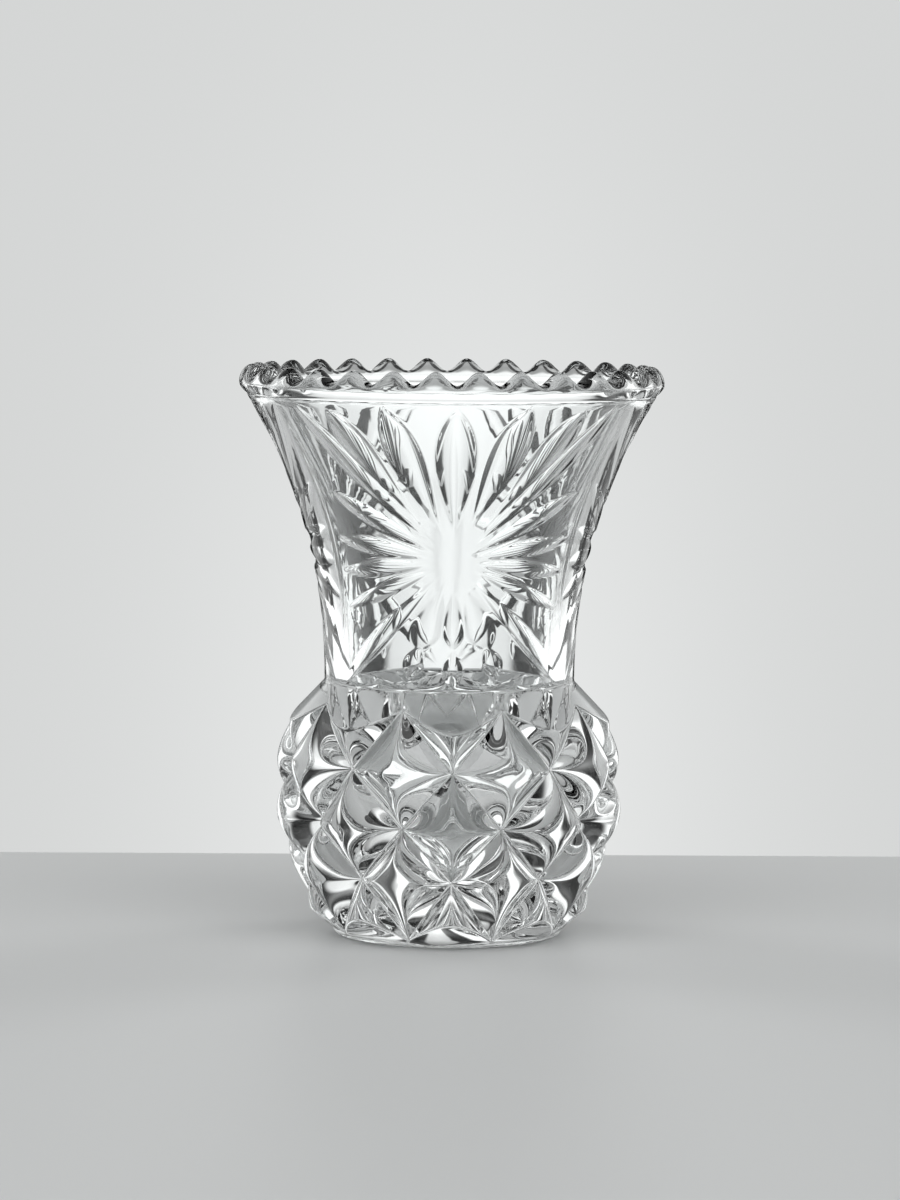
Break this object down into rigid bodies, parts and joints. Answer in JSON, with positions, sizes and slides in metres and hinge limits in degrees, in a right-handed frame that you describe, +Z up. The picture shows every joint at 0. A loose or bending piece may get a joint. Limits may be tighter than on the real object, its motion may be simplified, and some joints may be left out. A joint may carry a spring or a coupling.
{
  "type": "glass vase",
  "caption": "Pressed-glass vase: round bulb of diamond pyramids, flared neck with sunburst panels and a scalloped lip, open at the top.",
  "frame": {"origin": "centre of the resting plane under the foot ring", "axes": "+Z up along the vase's axis, -Y through the middle of one sunburst panel, +X to that panel's right"},
  "size_m": [0.0894, 0.0894, 0.12],
  "materials": {
    "clear_glass": "clear pressed glass, fire-polished and glossy"
  },
  "bodies": {
    "root": {"foot_ring": "clear_glass", "bulb": "clear_glass", "neck": "clear_glass", "lip": "clear_glass"}
  },
  "joints": []
}
